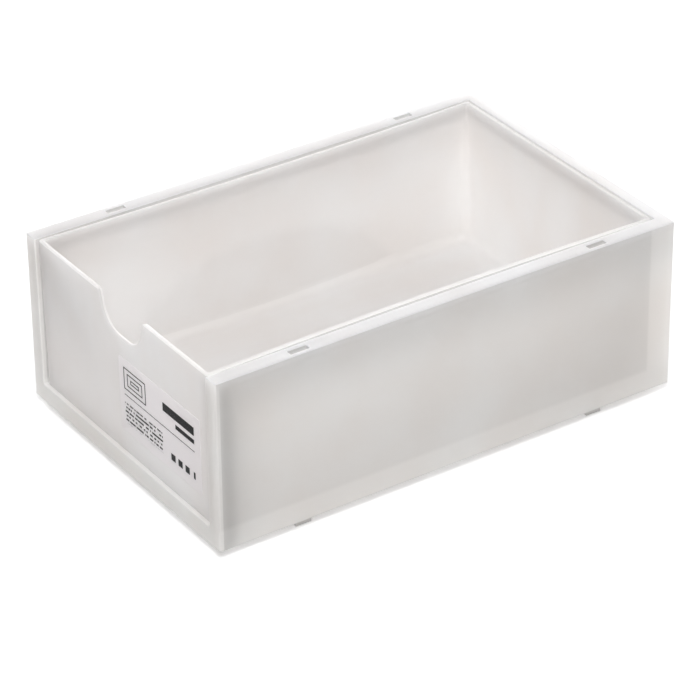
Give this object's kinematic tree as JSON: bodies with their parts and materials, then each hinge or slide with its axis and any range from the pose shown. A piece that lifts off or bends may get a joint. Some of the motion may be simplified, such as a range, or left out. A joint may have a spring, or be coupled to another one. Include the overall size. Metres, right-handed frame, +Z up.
{
  "type": "stackable drawer box",
  "caption": "Low open-topped case with stacking slots in its rim and pegs below, holding a tray-like drawer with a U-shaped finger notch that slides out of the front.",
  "frame": {"origin": "centre of the footprint, on the surface that the four pegs stand on", "axes": "+X to the right seen from the front, +Y to the back (the drawer opens towards -Y), +Z up"},
  "size_m": [0.156, 0.24, 0.0866],
  "materials": {
    "case_plastic": "milky white translucent polypropylene, satin",
    "drawer_plastic": "milky white translucent polypropylene, satin",
    "label_film": "clear self-adhesive film with plain black print"
  },
  "bodies": {
    "case": {"case": "case_plastic"},
    "drawer": {"drawer": "drawer_plastic", "label": "label_film"}
  },
  "joints": [
    {"name": "drawer_slide", "type": "slide", "parent": "case", "child": "drawer", "axis": [0, -1, 0], "range_m": [0, 0.17]}
  ]
}
